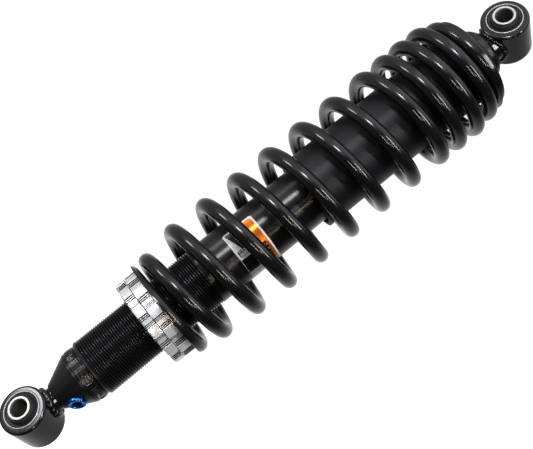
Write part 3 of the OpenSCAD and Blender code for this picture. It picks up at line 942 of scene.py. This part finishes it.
FINISHES = {
    SEAL_RUBBER: ("end_cap_oring", "gas_plug_oring", "floating_piston_oring", "seal_head_oring", "rod_seal",
                  "wiper_seal"),
    BUMP_FOAM: ("bump_stop",),
    BAND_PLASTIC: ("floating_piston_band", "piston_band"),
    INNER_ALUMINIUM: ("floating_piston", "seal_head", "piston"),
    STEEL: ("circlip", "compression_shims", "rebound_shims", "piston_washer", "piston_nut", "top_out_spacer"),
    BRONZE: ("rod_bush",),
    CHROME: ("piston_rod",),
}


def finish_cad_nodes():
    for material, nodes in FINISHES.items():
        for node in nodes:
            obj = frame["nodes"][node]
            obj.data.materials.clear()
            obj.data.materials.append(material)


# ---- stage, light and camera ----

CAMERA_TURN = math.radians(32.55)
CAMERA_RISE = math.radians(-5.32)
CAMERA_ROLL = math.radians(50.97)
CAMERA_REACH = 0.5745
CAMERA_AIM = Vector((-0.0010, -0.0007, 0.1736))
LENS = 66.1
FLOOR_Z = -0.14
LAMP_REACH = 1.3
COOL = (0.93, 0.95, 1.0)
WARM = (1.0, 0.82, 0.6)

# turn and rise of each glow's middle in degrees, then where it starts and is full, as the cosine of
# the angle from that middle, and its strength at those two
GLOWS = ((75, 0, -0.85, 0.75, 0.38, 0.03), (-18, 12, 0.6, 0.97, 0.0, 0.6), (190, -5, 0.3, 1.0, 0.0, 0.55))


def direction(turn, rise):
    """Unit vector from the object towards a camera or lamp; turn 0 is the -Y side."""
    flat = math.cos(rise)
    return Vector((math.sin(turn) * flat, -math.cos(turn) * flat, math.sin(rise)))


def make_camera():
    data = bpy.data.cameras.new("camera")
    data.lens = LENS
    data.sensor_width = 36
    data.clip_start = 0.01
    camera = bpy.data.objects.new("camera", data)
    bpy.context.scene.collection.objects.link(camera)
    back = direction(CAMERA_TURN, CAMERA_RISE)
    aim = back.to_track_quat("Z", "Y").to_matrix().to_4x4()
    place = Matrix.Translation(CAMERA_AIM + back * CAMERA_REACH)
    camera.matrix_world = place @ aim @ Matrix.Rotation(CAMERA_ROLL, 4, "Z")
    bpy.context.scene.camera = camera


def lamp(name, turn_deg, rise_deg, width, height, power, colour):
    data = bpy.data.lights.new(name, "AREA")
    data.shape = "RECTANGLE"
    data.size = width
    data.size_y = height
    data.energy = power
    data.color = colour
    obj = bpy.data.objects.new(name, data)
    bpy.context.scene.collection.objects.link(obj)
    back = direction(math.radians(turn_deg), math.radians(rise_deg))
    centre = Vector((0, 0, EYE_GAP * MM / 2))
    obj.location = centre + back * LAMP_REACH
    obj.rotation_euler = back.to_track_quat("Z", "Y").to_euler()


def make_world():
    """Soft grey surroundings: lighter behind the object and towards the key side, white to the camera."""
    world = bpy.data.worlds.new("studio")
    bpy.context.scene.world = world
    world.use_nodes = True
    tree = world.node_tree
    background = tree.nodes["Background"]
    background.inputs["Color"].default_value = (1, 1, 1, 1)
    place = tree.nodes.new("ShaderNodeTexCoord")

    def glow(turn_deg, rise_deg, low_dot, high_dot, low_value, high_value):
        dot = tree.nodes.new("ShaderNodeVectorMath")
        dot.operation = "DOT_PRODUCT"
        dot.inputs[1].default_value = direction(math.radians(turn_deg), math.radians(rise_deg))
        tree.links.new(place.outputs["Generated"], dot.inputs[0])
        shade = tree.nodes.new("ShaderNodeMapRange")
        shade.interpolation_type = "SMOOTHSTEP"
        for key, value in (("From Min", low_dot), ("From Max", high_dot), ("To Min", low_value),
                           ("To Max", high_value)):
            shade.inputs[key].default_value = value
        tree.links.new(dot.outputs["Value"], shade.inputs["Value"])
        return shade.outputs["Result"]

    total, *others = [glow(*numbers) for numbers in GLOWS]
    for more in others:
        add = tree.nodes.new("ShaderNodeMath")
        add.operation = "ADD"
        tree.links.new(total, add.inputs[0])
        tree.links.new(more, add.inputs[1])
        total = add.outputs["Value"]
    tree.links.new(total, background.inputs["Strength"])
    path = tree.nodes.new("ShaderNodeLightPath")
    white = tree.nodes.new("ShaderNodeBackground")
    white.inputs["Color"].default_value = (1, 1, 1, 1)
    white.inputs["Strength"].default_value = 1.1
    mix = tree.nodes.new("ShaderNodeMixShader")
    tree.links.new(path.outputs["Is Camera Ray"], mix.inputs["Fac"])
    tree.links.new(background.outputs["Background"], mix.inputs[1])
    tree.links.new(white.outputs["Background"], mix.inputs[2])
    tree.links.new(mix.outputs["Shader"], tree.nodes["World Output"].inputs["Surface"])


def make_floor():
    size = 6000
    z = FLOOR_Z / MM
    verts = [(-size, -size, z), (size, -size, z), (size, size, z), (-size, size, z)]
    p = Paint("floor_white")
    p.set(Roughness=0.9)
    p.link(p.colours(p.noise(3, 2), [(0.3, (0.93, 0.93, 0.93)), (0.7, (0.96, 0.96, 0.96))]), "Base Color")
    p.set(Emission_Color=(1, 1, 1, 1), Emission_Strength=1.0)
    floor = build("floor", verts, [(0, 1, 2, 3)], p.material)
    floor.visible_glossy = False
    floor.visible_diffuse = False


def make_light():
    """Two cool keys and a high strip draw the light streaks along the metal, two lamps the warm ones."""
    lamp("key_soft", 4, 7, 0.26, 0.24, 8, COOL)
    lamp("key_far", -33, -14, 0.36, 0.2, 4.5, COOL)
    lamp("warm_side", 49, -16, 0.46, 0.07, 4.0, WARM)
    lamp("warm_line", 61, 4, 0.03, 0.3, 0.9, (1.0, 0.85, 0.62))
    lamp("high_side", 58, 30, 0.7, 0.1, 7, (0.95, 0.96, 1.0))
    lamp("fill_top", 20, 62, 1.5, 1.5, 7, (1, 1, 1))


make_eyes()
make_end_cap()
make_gas_plug()
make_tube()
make_label()
make_rings()
make_spring()
make_dust_sleeve()
make_retainer()
finish_cad_nodes()
make_world()
make_floor()
make_light()
make_camera()
bpy.context.scene.view_settings.view_transform = "Standard"
